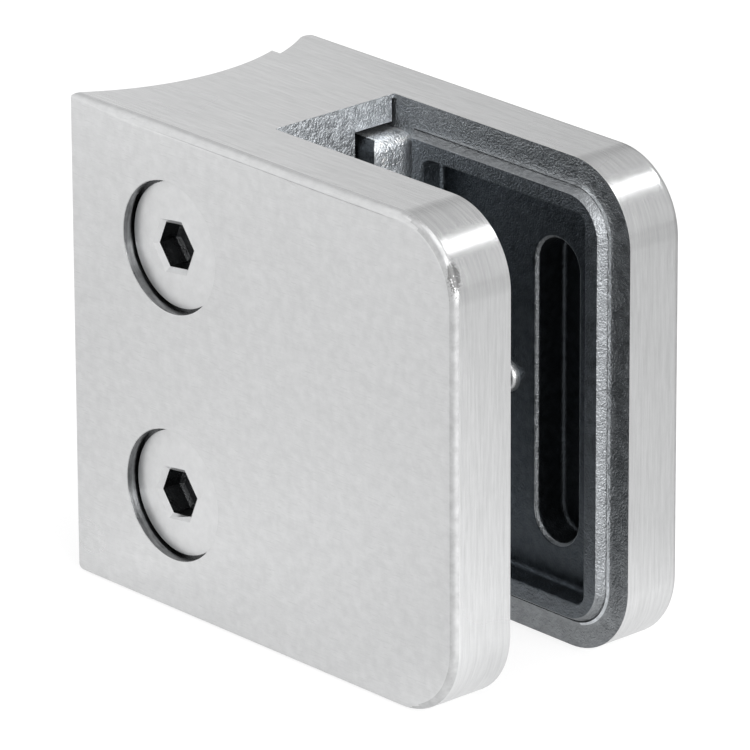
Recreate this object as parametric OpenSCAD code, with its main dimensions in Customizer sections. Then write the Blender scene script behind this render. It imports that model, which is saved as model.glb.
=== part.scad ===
// Glass panel clamp for a round handrail post.
// A cast body carries the front jaw, the web and the saddle; a cast cover plate
// is the rear jaw; two countersunk socket screws draw the cover onto the body.
//
// All parts are measured from the body's tube-side tip (x), its front face (y)
// and the flat bottom (z), then moved so that the origin is at the middle of
// the clamp's bottom.

/* [Overall size] */
// Length from the tube-side tip to the open end
length = 49; // [47:0.5:56]
// Height of the clamp
height = 45; // [44:0.5:52]
// Thickness across both jaws
thickness = 26.5; // [26:0.5:32]

/* [Jaws] */
// Thickness of the body's front jaw
front_jaw_t = 6.5; // [6.3:0.1:7.5]
// Thickness of the cover plate, which is the rear jaw
cover_t = 6.1; // [6:0.1:7.5]
// Radius of the outline's corners at the open end
corner_r = 7; // [6:0.5:8]
// Rounding of the outer edges
edge_r = 0.8; // [0.4:0.1:1.2]

/* [Saddle] */
// Diameter of the handrail tube that the saddle fits
tube_d = 42.4; // [42.4:0.1:60.3]
// Distance that the cover stands back from the body's saddle
cover_setback = 1.1; // [0.5:0.1:2]
// Rounding of the cover's tip beside the tube
tip_r = 1.3; // [0.8:0.1:1.8]

/* [Web] */
// Distance from the tube-side tip to the end face of the web
web_end = 19.4; // [19:0.1:20.5]
// Diameter of the hole for the bolt that holds the clamp to the tube
tube_bolt_d = 8.5; // [6.5:0.1:9]

/* [Screws] */
// Distance of the screws from the tube-side tip
screw_x = 12.8; // [12.5:0.1:13.2]
// Distance between the two screws
screw_spacing = 23; // [22.5:0.1:23.5]
// Thread diameter
thread_d = 6; // [5:0.5:6]
// Overall length of a screw, head included
screw_length = 20; // [18:1:20]
// Diameter of the countersunk head
head_d = 11.5; // [11:0.1:11.6]
// Width of the hexagon socket across its flats
socket_af = 4; // [3:0.5:4]
// Depth of the hexagon socket
socket_depth = 2.3; // [1.5:0.1:2.5]
// Depth of the head's face below the jaw's face
head_sink = 1; // [0.2:0.1:1.2]
// Chamfer round the socket's mouth
socket_chamfer = 0.3; // [0.1:0.05:0.4]
// Turn of the upper socket
upper_socket_turn = 53; // [0:1:60]
// Turn of the lower socket
lower_socket_turn = 54; // [0:1:60]

/* [Lining seat] */
// Distance from the jaw's outline to the foot of the raised rim
rim_inset = 2.5; // [2:0.1:3]
// Width of the rim at its foot
rim_w = 2.1; // [1.6:0.1:2.4]
// Height of the rim above the jaw's inner face
rim_h = 1; // [0.6:0.1:1.4]
// Depth of the pocket below the jaw's inner face
pocket_depth = 1.4; // [0.8:0.1:1.6]
// Distance that the rim's outer side leans inwards from foot to top
rim_slope = 0.4; // [0.1:0.05:0.6]
// Outer radius of the rim's two corners at the open end
rim_corner_r = 4.1; // [3:0.1:4.5]
// Radius of the pocket's corners
pocket_r = 1; // [0.5:0.1:2]
// Distance of the long recess from the open end
recess_from_end = 10.3; // [9.5:0.1:11]
// Width of the long recess for the lining's rib
recess_w = 5.4; // [4.5:0.1:6]
// Length of the long recess
recess_length = 28.6; // [22:0.1:30]
// Depth of the long recess below the pocket's floor
recess_depth = 3.3; // [2.5:0.1:3.4]
// Chamfer round the recess's mouth
recess_chamfer = 0.5; // [0.2:0.1:0.7]
// Diameter of the locating stud in the pocket
stud_d = 3; // [2:0.1:4]
// Distance of the locating stud from the open end
stud_from_end = 17.3; // [16.5:0.1:18]
// Distance of the locating stud below the middle
stud_drop = 0.9; // [0:0.1:1.5]

/* [Nesting blocks] */
// Reach of the cover's two blocks into the web
block_reach = 4.4; // [3.5:0.1:4.8]
// Height of each block
block_h = 13.6; // [12.5:0.1:14]
// Distance from the bottom or the top of the clamp to a block
block_inset = 3.1; // [2.8:0.1:3.4]
// Distance from the tube-side tip to the near end of the blocks
block_start = 7.2; // [7:0.1:8]
// Rounding of the blocks' corners, seen from the front
block_r = 1.1; // [0.5:0.1:1.5]
// Rounding of the edges round the blocks' front faces
block_edge_r = 0.8; // [0.4:0.1:1.2]

/* [Hidden] */

$fn = 96;
eps = 0.01;
steel = [0.80, 0.80, 0.79];
screw_steel = [0.84, 0.84, 0.83];

mid_y = thickness / 2;
mid_z = height / 2;
seam_y = thickness - cover_t;

// The saddle's axis, placed so that its arc starts at the body's tip
saddle_r = tube_d / 2;
saddle_x = -sqrt(saddle_r * saddle_r - mid_y * mid_y);

// The rim starts at the ends of the blocks, a little past the web
rim_from_web = 2.6;
rim_start = web_end + rim_from_web;
rim_end = length - rim_inset;
pocket_x1 = rim_start + rim_w;
pocket_x2 = rim_end - rim_w;
pocket_z1 = rim_inset + rim_w;
pocket_z2 = height - pocket_z1;
rim_bend_r = rim_corner_r - rim_w;
rim_edge = 0.12;
rim_root = 0.6;

recess_x = length - recess_from_end;
stud_x = length - stud_from_end;
stud_z = mid_z - stud_drop;
stud_proud = 0.9;
stud_root = 0.5;
stud_taper = 0.5;

// Running clearances round the screws and the blocks
thread_gap = 0.05;
seat_gap = 0.04;
bore_gap = 0.2;
counterbore_gap = 0.25;
block_gap = 0.25;
lug_gap = 0.6;

// A screw's head and point, and the hole that takes them
head_land = 0.4;
head_cone = (head_d - thread_d) / 2;
point_h = 0.8;
counterbore_ledge = 0.12;
socket_floor_h = 0.6;
socket_floor_d = 1.2;
tap_depth = 3.2;
drill_tip_h = 1.6;
drill_tip_d = 0.4;

// How far cutting tools run past the metal
over = 1;
mouth_over = 0.2;
tip_cut = 6;

// Moves a part from the tip's corner to the middle of the bottom
module centred() {
    translate([-length / 2, -mid_y, 0]) children();
}

// Copies the children to the upper and lower half
module both_halves() {
    children();
    translate([0, 0, height]) mirror([0, 0, 1]) children();
}

// Stands a shape made along z on the y axis, at a place on the jaw's face
module along_y(x, y, z) {
    translate([x, y, z]) rotate([-90, 0, 0]) children();
}

// Rectangle with the corner at its origin rounded
module one_round_corner(w, h, r) {
    translate([r, 0]) square([w - r, h]);
    translate([0, r]) square([r + eps, h - r]);
    translate([r, r]) circle(r);
}

// Rectangle with four rounded corners, given by its two end corners
module rounded_rectangle(x1, y1, x2, y2, r) {
    translate([x1 + r, y1]) square([x2 - x1 - 2 * r, y2 - y1]);
    translate([x1, y1 + r]) square([x2 - x1, y2 - y1 - 2 * r]);
    for (x = [x1 + r, x2 - r], y = [y1 + r, y2 - r])
        translate([x, y]) circle(r);
}

// A jaw plate: outer face at y = 0, rounded corners at the open end, and the
// outer edges eased everywhere but beside the tube
module jaw_plate(t) {
    both_halves() {
        // From the tube side to the start of the corners
        rotate([90, 0, 90])
            linear_extrude(length - corner_r)
                one_round_corner(t, mid_z, edge_r);
        // The straight stretch of the open end
        translate([length, 0, corner_r])
            mirror([1, 0, 0])
                linear_extrude(mid_z - corner_r)
                    one_round_corner(corner_r, t, edge_r);
        // The rounded corner
        along_y(length - corner_r, 0, corner_r)
            rotate_extrude(angle = 90)
                translate([corner_r, 0])
                    mirror([1, 0])
                        one_round_corner(corner_r, t, edge_r);
    }
}

// Section of the raised rim: x runs outwards from the pocket's wall and y
// stands up from the jaw's face; a core fills the inside of a bend
module rim_section(core = 0) {
    polygon([
        [-core, -rim_root],
        [rim_w, -rim_root],
        [rim_w, 0],
        [rim_w - rim_slope, rim_h - rim_edge],
        [rim_w - rim_slope - rim_edge, rim_h],
        [-core, rim_h]
    ]);
}

// The rim, run round the pocket on a face at y = 0 that looks towards -y;
// its corners beside the blocks are square
module rim() {
    // Run along the open end
    translate([pocket_x2, 0, pocket_z1 + rim_bend_r])
        linear_extrude(pocket_z2 - pocket_z1 - 2 * rim_bend_r)
            mirror([0, 1]) rim_section();
    // Run beside the blocks
    translate([pocket_x1, 0, rim_inset])
        mirror([1, 0, 0])
            linear_extrude(height - 2 * rim_inset)
                mirror([0, 1]) rim_section();
    both_halves() {
        // Bottom run
        translate([rim_start, 0, pocket_z1])
            rotate([90, 0, 90])
                linear_extrude(pocket_x2 - rim_bend_r - rim_start)
                    rotate(-90) mirror([0, 1]) rim_section();
        // Corner at the open end
        along_y(pocket_x2 - rim_bend_r, 0, pocket_z1 + rim_bend_r)
            rotate_extrude(angle = 90)
                translate([rim_bend_r, 0]) mirror([0, 1]) rim_section(rim_bend_r);
    }
}

// Plug that cuts the long blind recess and chamfers its mouth
module recess_cut() {
    r = recess_w / 2;
    run = recess_length - recess_w;
    mouth = recess_chamfer + mouth_over;
    translate([0, pocket_depth + recess_depth, 0])
        rotate([90, 0, 0])
            linear_extrude(recess_depth + over)
                rounded_rectangle(recess_x - r, mid_z - recess_length / 2,
                                  recess_x + r, mid_z + recess_length / 2, r - eps);
    translate([recess_x, pocket_depth + recess_chamfer, mid_z - run / 2])
        linear_extrude(run)
            polygon([[-r, 0], [r, 0], [r + mouth, -mouth], [-r - mouth, -mouth]]);
    for (side = [-1, 1])
        along_y(recess_x, pocket_depth + recess_chamfer - mouth, mid_z + side * run / 2)
            cylinder(r1 = r + mouth, r2 = r, h = mouth);
}

// The pocket and the long blind recess, cut into a face at y = 0 that looks
// towards -y
module pocket_cut() {
    translate([0, pocket_depth, 0])
        rotate([90, 0, 0])
            linear_extrude(pocket_depth + rim_h + over)
                rounded_rectangle(pocket_x1, pocket_z1, pocket_x2, pocket_z2, pocket_r);
    recess_cut();
}

// Small round stud that stands on the pocket's floor and locates the lining
module locating_stud() {
    along_y(stud_x, pocket_depth - stud_proud, stud_z)
        cylinder(d1 = stud_d - stud_taper, d2 = stud_d, h = stud_proud / 2);
    along_y(stud_x, pocket_depth - stud_proud / 2, stud_z)
        cylinder(d = stud_d, h = stud_proud / 2 + stud_root);
}

// Outline of a nesting block in the x-z plane, grown by a gap
module block_outline(gap, top_gap, end_x) {
    rounded_rectangle(block_start - gap, height - block_inset - block_h - gap,
                      end_x, height - block_inset + top_gap, block_r);
}

// One of the cover's two blocks: its outline crossed with a section whose
// front edges are rounded
module nesting_block() {
    top_z = height - block_inset;
    intersection() {
        translate([0, seam_y + over, 0])
            rotate([90, 0, 0])
                linear_extrude(block_reach + over)
                    block_outline(0, 0, rim_start);
        rotate([90, 0, 90])
            linear_extrude(rim_start + over)
                rounded_rectangle(seam_y - block_reach, top_z - block_h,
                                  seam_y + over, top_z, block_edge_r);
    }
}

module clamp_body() {
    color(steel) centred() difference() {
        union() {
            jaw_plate(front_jaw_t);
            translate([0, front_jaw_t - over, 0])
                cube([web_end, seam_y - front_jaw_t + over, height]);
            translate([0, front_jaw_t, 0]) mirror([0, 1, 0]) rim();
        }
        // Saddle
        translate([saddle_x, mid_y, -over])
            cylinder(r = saddle_r, h = height + 2 * over);
        // Notches that take the cover's blocks
        both_halves()
            translate([0, seam_y + over, 0])
                rotate([90, 0, 0])
                    linear_extrude(block_reach + over + block_gap)
                        block_outline(block_gap, lug_gap, web_end + 2 * block_r);
        // Hole for the tube bolt
        translate([-over, mid_y, mid_z])
            rotate([0, 90, 0])
                cylinder(d = tube_bolt_d, h = web_end + 2 * over);
        // Screw holes, each with a countersink and a short counterbore
        for (side = [-1, 1]) {
            z = mid_z + side * screw_spacing / 2;
            cone_y = head_sink + head_land - seat_gap;
            along_y(screw_x, -over, z) {
                cylinder(d = thread_d + 2 * bore_gap, h = seam_y + 2 * over);
                cylinder(d = head_d + 2 * counterbore_gap, h = cone_y + counterbore_ledge + over);
            }
            along_y(screw_x, cone_y + seat_gap, z)
                cylinder(d1 = head_d + 2 * seat_gap, d2 = thread_d + 2 * seat_gap, h = head_cone);
        }
        translate([0, front_jaw_t, 0]) mirror([0, 1, 0]) pocket_cut();
    }
    color(steel) centred()
        translate([0, front_jaw_t, 0]) mirror([0, 1, 0]) locating_stud();
}

// Plan outline of the material that is taken off to round the cover's tip
module tip_rounding() {
    cx = saddle_x + cover_setback;
    reach = saddle_r + tip_r;
    run_y = thickness - tip_r - mid_y;
    tx = cx + sqrt(reach * reach - run_y * run_y);
    share = saddle_r / reach;
    difference() {
        polygon([
            [tx, thickness - tip_r],
            [cx + share * (tx - cx), mid_y + share * run_y],
            [tx - tip_cut, thickness - tip_r],
            [tx - tip_cut, thickness + over],
            [tx, thickness + over]
        ]);
        translate([tx, thickness - tip_r]) circle(tip_r);
    }
}

module cover_plate() {
    color(steel) centred() difference() {
        union() {
            translate([0, thickness, 0]) mirror([0, 1, 0]) jaw_plate(cover_t);
            translate([0, seam_y, 0]) rim();
            both_halves() nesting_block();
        }
        translate([saddle_x + cover_setback, mid_y, -over])
            cylinder(r = saddle_r, h = height + 2 * over);
        translate([0, 0, -over]) linear_extrude(height + 2 * over) tip_rounding();
        // Tapped holes
        for (side = [-1, 1])
            along_y(screw_x, seam_y - block_reach - over, mid_z + side * screw_spacing / 2) {
                cylinder(d = thread_d + 2 * thread_gap, h = block_reach + over + tap_depth);
                translate([0, 0, block_reach + over + tap_depth])
                    cylinder(d1 = thread_d + 2 * thread_gap, d2 = drill_tip_d, h = drill_tip_h);
            }
        translate([0, seam_y, 0]) pocket_cut();
    }
    color(steel) centred() translate([0, seam_y, 0]) locating_stud();
}

// Tapered hexagon that chamfers a socket's mouth: three tapered slots crossed
module socket_mouth() {
    half = socket_af / 2;
    c = socket_chamfer;
    intersection_for(turn = [0, 60, 120])
        rotate([0, 0, turn])
            translate([-head_d / 2, 0, 0])
                rotate([90, 0, 90])
                    linear_extrude(head_d)
                        polygon([[-half, c], [half, c], [half + 2 * c, -c], [-half - 2 * c, -c]]);
}

// Countersunk screw with a hexagon socket, its head's face at z = 0
module socket_screw(socket_turn) {
    shank = screw_length - head_land - head_cone;
    difference() {
        union() {
            cylinder(d = head_d, h = head_land);
            translate([0, 0, head_land]) cylinder(d1 = head_d, d2 = thread_d, h = head_cone);
            translate([0, 0, head_land + head_cone]) cylinder(d = thread_d, h = shank - point_h);
            translate([0, 0, screw_length - point_h])
                cylinder(d1 = thread_d, d2 = thread_d - 2 * point_h, h = point_h);
        }
        // Socket, its chamfered mouth and its dished floor
        rotate(socket_turn) {
            translate([0, 0, -over])
                cylinder(d = socket_af / cos(30), h = socket_depth + over, $fn = 6);
            socket_mouth();
        }
        translate([0, 0, socket_depth - eps])
            cylinder(d1 = socket_af - 2 * eps, d2 = socket_floor_d, h = socket_floor_h);
    }
}

module upper_screw() {
    color(screw_steel) centred()
        along_y(screw_x, head_sink, mid_z + screw_spacing / 2)
            socket_screw(upper_socket_turn);
}

module lower_screw() {
    color(screw_steel) centred()
        along_y(screw_x, head_sink, mid_z - screw_spacing / 2)
            socket_screw(lower_socket_turn);
}

clamp_body();
cover_plate();
upper_screw();
lower_screw();
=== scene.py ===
"""Studio scene of the glass panel clamp.

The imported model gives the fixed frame: two cast stainless jaws that close on a
glass panel, and the two socket screws that hold them together. This script
dresses the four parts, stands them on a pale floor and lights them.
"""

import logging
import math
from collections.abc import Callable
from dataclasses import dataclass
from enum import Enum

import bpy
from mathutils import Matrix, Vector


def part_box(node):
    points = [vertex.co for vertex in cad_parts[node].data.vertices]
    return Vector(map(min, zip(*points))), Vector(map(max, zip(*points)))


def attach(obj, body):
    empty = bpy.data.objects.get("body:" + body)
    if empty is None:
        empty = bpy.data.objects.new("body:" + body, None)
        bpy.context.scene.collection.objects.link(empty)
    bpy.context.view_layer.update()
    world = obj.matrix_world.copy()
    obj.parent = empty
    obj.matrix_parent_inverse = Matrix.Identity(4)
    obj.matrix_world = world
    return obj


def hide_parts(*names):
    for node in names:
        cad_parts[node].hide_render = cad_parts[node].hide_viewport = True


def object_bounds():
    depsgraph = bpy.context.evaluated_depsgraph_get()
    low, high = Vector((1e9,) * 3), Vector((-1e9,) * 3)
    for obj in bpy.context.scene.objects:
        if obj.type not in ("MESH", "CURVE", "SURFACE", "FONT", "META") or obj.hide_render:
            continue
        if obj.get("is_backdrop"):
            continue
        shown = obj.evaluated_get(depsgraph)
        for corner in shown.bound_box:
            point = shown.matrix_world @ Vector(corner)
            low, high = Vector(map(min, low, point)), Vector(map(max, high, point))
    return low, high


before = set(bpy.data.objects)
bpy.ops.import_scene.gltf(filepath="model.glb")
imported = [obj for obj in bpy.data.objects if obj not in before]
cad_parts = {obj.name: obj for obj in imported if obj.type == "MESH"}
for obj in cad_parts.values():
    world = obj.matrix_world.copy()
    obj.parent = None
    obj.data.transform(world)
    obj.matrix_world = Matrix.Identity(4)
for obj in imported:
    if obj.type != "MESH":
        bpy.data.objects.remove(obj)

Pair = tuple[float, float]
Triple = tuple[float, float, float]
Stops = tuple[Pair, ...]
Socket = bpy.types.NodeSocket
Material = bpy.types.Material
World = bpy.types.World
EdgeTest = Callable[[Vector, Vector], bool]
FaceTest = Callable[[Vector, Vector], bool]
FinishTest = Callable[[Vector, Vector, str], bool]

# One millimetre in metres.
MM = 0.001
# Lengths in millimetres that differ by less than this are the same.
SAME = 0.004
# How far round an area its edges are still picked.
MARGIN = 0.02
# How far a cutting tool reaches past the piece, where there is room and where there is little.
OVER = 5.0
PAST = 1.0
# The least share of a normal along y on a face that looks to the front or the rear.
FACING = 0.9
WHITE = (1.0, 1.0, 1.0, 1.0)
LOG = logging.getLogger("clamp")


class NodeDesk:
    """Lays out the nodes of one material, or of the world."""

    def __init__(self, owner: Material | World) -> None:
        """Starts with an empty tree.

        Args:
            owner: The material or the world that the nodes belong to.
        """
        owner.use_nodes = True
        self.owner, self.tree = owner, owner.node_tree
        self.tree.nodes.clear()

    def surface(self, shader: Socket) -> Material | World:
        """Gives the last shader to the output.

        Args:
            shader: The last shader's socket.

        Returns:
            The finished material or world.
        """
        kind = "OutputWorld" if isinstance(self.owner, World) else "OutputMaterial"
        self.add(kind, {"Surface": shader})
        return self.owner

    def add(self, kind: str, inputs: dict | None = None, **settings: object) -> bpy.types.Node:
        """Adds a node.

        Args:
            kind: The node's type, without its "ShaderNode" start.
            inputs: Values or sockets for its inputs, by the input's name or number.
            settings: Other properties of the node.

        Returns:
            The new node.
        """
        node = self.tree.nodes.new("ShaderNode" + kind)
        for key, value in settings.items():
            setattr(node, key, value)
        for key, value in (inputs or {}).items():
            if isinstance(value, Socket):
                self.tree.links.new(value, node.inputs[key])
            else:
                node.inputs[key].default_value = value
        return node

    def place(self, scale: Triple) -> Socket:
        """Gives the piece's own coordinates, stretched along each axis."""
        own = self.add("TexCoord").outputs["Object"]
        return self.add("Mapping", {"Vector": own, "Scale": scale}).outputs["Vector"]

    def noise(self, scale: Triple, detail: float, roughness: float) -> Socket:
        """Adds noise of some octaves, each finer one weaker, from grains per metre along each axis."""
        inputs = {"Vector": self.place(scale), "Scale": 1.0, "Detail": detail, "Roughness": roughness}
        return self.add("TexNoise", inputs).outputs["Fac"]

    def spread(self, value: Socket, source: Pair, result: Pair) -> Socket:
        """Maps a range of values onto another, and clips to it."""
        return self.add("MapRange", dict(enumerate((value, *source, *result)))).outputs[0]

    def around(self, noise: Socket, level: float, uneven: float) -> Socket:
        """Lets a level waver with the middle range of a noise."""
        return self.spread(noise, (0.3, 0.7), (level - uneven, level + uneven))

    def calc(self, operation: str, *values: Socket | float) -> Socket:
        """Works out a product or another function of values."""
        return self.add("Math", dict(enumerate(values)), operation=operation).outputs[0]

    def between(self, share: Socket, low: Socket | float, high: Socket | float) -> Socket:
        """Blends two levels by a share."""
        return self.add("Mix", {0: share, 2: low, 3: high}, data_type="FLOAT").outputs[0]

    def gap(self, vector: Socket, place: Triple) -> Socket:
        """Measures how far a vector lies from a place."""
        return self.add("VectorMath", {0: vector, 1: place}, operation="DISTANCE").outputs["Value"]

    def tone(self, value: Socket, dark: Triple, light: Triple) -> Socket:
        """Blends two colours by a value from 0 to 1."""
        inputs = {0: value, 6: (*dark, 1), 7: (*light, 1)}
        return self.add("Mix", inputs, data_type="RGBA").outputs[2]

    def ramp(self, value: Socket, low: float, high: float, stops: Stops) -> Socket:
        """Turns a value into a level along a smooth ramp of stops.

        Args:
            value: The value to follow.
            low: Where the ramp begins.
            high: Where it ends.
            stops: Pairs of a value and its level.

        Returns:
            The level.
        """
        share = self.spread(value, (low, high), (0.0, 1.0))
        node = self.add("ValToRGB", {0: share})
        node.color_ramp.interpolation = "EASE"
        marks = node.color_ramp.elements
        while len(marks) < len(stops):
            marks.new(0.5)
        for mark, (place, level) in zip(marks, stops):
            mark.position = (place - low) / (high - low)
            mark.color = (level, level, level, 1)
        return node.outputs["Color"]

    def along(self, vector: Socket, direction: Triple) -> Socket:
        """Measures how far a vector reaches along a direction of length one."""
        return self.add("VectorMath", {0: vector, 1: direction}, operation="DOT_PRODUCT").outputs["Value"]

    def bump(self, height: Socket, strength: float, distance: float, under: Socket | None = None) -> Socket:
        """Adds a relief.

        Args:
            height: The relief's height, from 0 to 1.
            strength: How strongly it shows.
            distance: Its depth in metres.
            under: A relief that lies beneath, if any.

        Returns:
            The surface normal.
        """
        inputs = {"Height": height, "Strength": strength, "Distance": distance}
        if under is not None:
            inputs["Normal"] = under
        return self.add("Bump", inputs).outputs["Normal"]

    def metal(self, colour: Socket, roughness: Socket, normal: Socket) -> Material:
        """Finishes the material as bare metal."""
        inputs = {"Base Color": colour, "Metallic": 1.0, "Roughness": roughness, "Normal": normal}
        return self.surface(self.add("BsdfPrincipled", inputs).outputs[0])


def tinted(level: float, tint: float = 0.0) -> Triple:
    """Makes a steel grey of a lightness from 0 to 1, with red lowered and blue raised by a share."""
    return (level * (1 - tint), level, level * (1 + tint))


@dataclass(frozen=True)
class Scuff:
    """A dark rub mark, long along z, in metres."""

    middle: Triple
    squeeze: Triple = (1.0, 1.0, 0.16)
    fade: Pair = (0.0002, 0.0010)
    strength: float = 3.2
    flecks: float = 8000.0
    cut: Pair = (0.32, 0.56)
    level: float = 0.17
    roughness: float = 0.6

    def rub(self, desk: NodeDesk, colour: Socket, rough: Socket, patches: Socket) -> tuple[Socket, Socket]:
        """Rubs the mark into a finish.

        Args:
            desk: Where the finish's nodes are laid out.
            colour: The finish's colour.
            rough: The finish's roughness.
            patches: The noise that breaks the mark up.

        Returns:
            The new colour and roughness.
        """
        spot = tuple(a * b for a, b in zip(self.middle, self.squeeze))
        mark = desk.spread(desk.gap(desk.place(self.squeeze), spot), self.fade, (self.strength, 0.0))
        for breaks in (patches, desk.noise((self.flecks,) * 3, detail=2.0, roughness=0.5)):
            mark = desk.calc("MULTIPLY", mark, breaks)
        mark = desk.spread(mark, self.cut, (0.0, 1.0))
        dark = (*tinted(self.level), 1)
        colour = desk.add("Mix", {0: mark, 6: colour, 7: dark}, data_type="RGBA").outputs[2]
        return colour, desk.between(mark, rough, self.roughness)


@dataclass(frozen=True)
class BrushedSteel:
    """Stainless steel with a fine brushed grain, given in strokes per metre."""

    name: str
    grain: Triple
    level: float = 0.70
    variation: float = 0.06
    streaks: float = 0.5
    contrast: float = 0.14
    patches: float = 1000.0
    clouds: float = 60.0
    roughness: float = 0.30
    uneven: float = 0.04
    relief: float = 0.16
    relief_depth: float = 0.00002
    scratches: float = 0.0
    scratch_pitch: float = 1.3
    scratch_cut: Pair = (0.66, 0.74)
    scuff: Scuff | None = None
    tint: float = 0.006

    def material(self) -> Material:
        """Makes the material.

        Returns:
            The material.
        """
        desk = NodeDesk(bpy.data.materials.new(self.name))
        lines = desk.noise(self.grain, detail=4.0, roughness=0.65)
        patches = desk.noise((self.patches,) * 3, detail=5.0, roughness=0.65)
        clouds = desk.noise((self.clouds,) * 3, detail=2.0, roughness=0.5)
        blend = desk.calc("MULTIPLY_ADD", lines, self.streaks, patches)
        middle, half = 0.5 * (1 + self.streaks), self.contrast * (1 + self.streaks)
        share = desk.spread(blend, (middle - half, middle + half), (0.0, 1.0))
        pitch = tuple(self.scratch_pitch * n for n in self.grain)
        scored = desk.noise(pitch, detail=1.0, roughness=0.5)
        scored = desk.spread(scored, self.scratch_cut, (0.0, 1.0))
        share = desk.calc("MULTIPLY_ADD", scored, -self.scratches, share)
        dark, light = (tinted(self.level * (1 + side * self.variation), self.tint) for side in (-1, 1))
        colour = desk.tone(share, dark, light)
        rough = desk.around(clouds, self.roughness, self.uneven)
        if self.scuff:
            colour, rough = self.scuff.rub(desk, colour, rough, patches)
        return desk.metal(colour, rough, desk.bump(lines, self.relief, self.relief_depth))


@dataclass(frozen=True)
class CastSteel:
    """Rough cast stainless steel, as it left the mould and the blast cabinet."""

    name: str
    level: float = 0.30
    roughness: float = 0.40
    uneven: float = 0.06
    tint: float = 0.07
    depth: float = 1.0
    blotch: float = 0.15
    blotch_cut: Pair = (0.35, 0.65)
    grain: float = 5000.0
    grain_depth: float = 0.00012
    lumps: float = 1200.0
    lump_depth: float = 0.00006

    def material(self) -> Material:
        """Makes the material.

        Returns:
            The material.
        """
        desk = NodeDesk(bpy.data.materials.new(self.name))
        grain = desk.noise((self.grain,) * 3, detail=2.0, roughness=0.6)
        lumps = desk.noise((self.lumps,) * 3, detail=3.0, roughness=0.55)
        share = desk.spread(lumps, self.blotch_cut, (0.0, 1.0))
        dark, light = (tinted(self.level * (1 + side * self.blotch), self.tint) for side in (-1, 1))
        rough = desk.around(lumps, self.roughness, self.uneven)
        swell = desk.bump(lumps, 1.0, self.lump_depth * self.depth)
        relief = desk.bump(grain, 1.0, self.grain_depth * self.depth, swell)
        return desk.metal(desk.tone(share, dark, light), rough, relief)


class Axis(Enum):
    """The axis that a rod lies along, with the turn that lays it there."""

    X = (0, math.pi / 2, 0)
    Y = (-math.pi / 2, 0, 0)
    Z = (0, 0, 0)


class Fit(Enum):
    """How a second workpiece is put to the first."""

    CUT = "DIFFERENCE"
    JOIN = "UNION"
    TRIM = "INTERSECT"


class Pick(Enum):
    """What is picked on a workpiece."""

    FACES = "FACE"
    EDGES = "EDGE"


def near(value: float, target: float, gap: float = SAME) -> bool:
    """Tells whether two lengths in millimetres are the same, or lie within a gap."""
    return abs(value - target) < gap


def along_y(a: Vector, b: Vector) -> bool:
    """Tells whether an edge runs along y."""
    return near(a.x, b.x) and near(a.z, b.z)


def edge_at(y: float) -> EdgeTest:
    """Gives the test for the edges that lie at one y."""
    return lambda a, b: near(a.y, y) and near(b.y, y)


def edge_round(y: float, low: Pair, high: Pair) -> EdgeTest:
    """Gives the test for the edges at one y between two corners, each an x and a z."""
    return lambda a, b: all(
        near(end.y, y) and all(p - MARGIN < q < r + MARGIN for p, q, r in zip(low, (end.x, end.z), high))
        for end in (a, b)
    )


def everywhere(middle: Vector, normal: Vector) -> bool:
    """Passes every face."""
    return True


def faces_rear(middle: Vector, normal: Vector) -> bool:
    """Tells whether a face looks to the rear."""
    return normal.y > FACING


def faces_rear_at(y: float) -> FaceTest:
    """Gives the test for the faces at one y that look to the rear."""
    return lambda middle, normal: faces_rear(middle, normal) and near(middle.y, y)


def faces_end_at(y: float) -> FaceTest:
    """Gives the test for the faces at one y that look to the front or the rear."""
    return lambda middle, normal: near(middle.y, y) and abs(normal.y) > FACING


def faces_front(middle: Vector, normal: Vector, has: str) -> bool:
    """Tells whether a face looks to the front, whatever its finish."""
    return normal.y < -FACING


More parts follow.
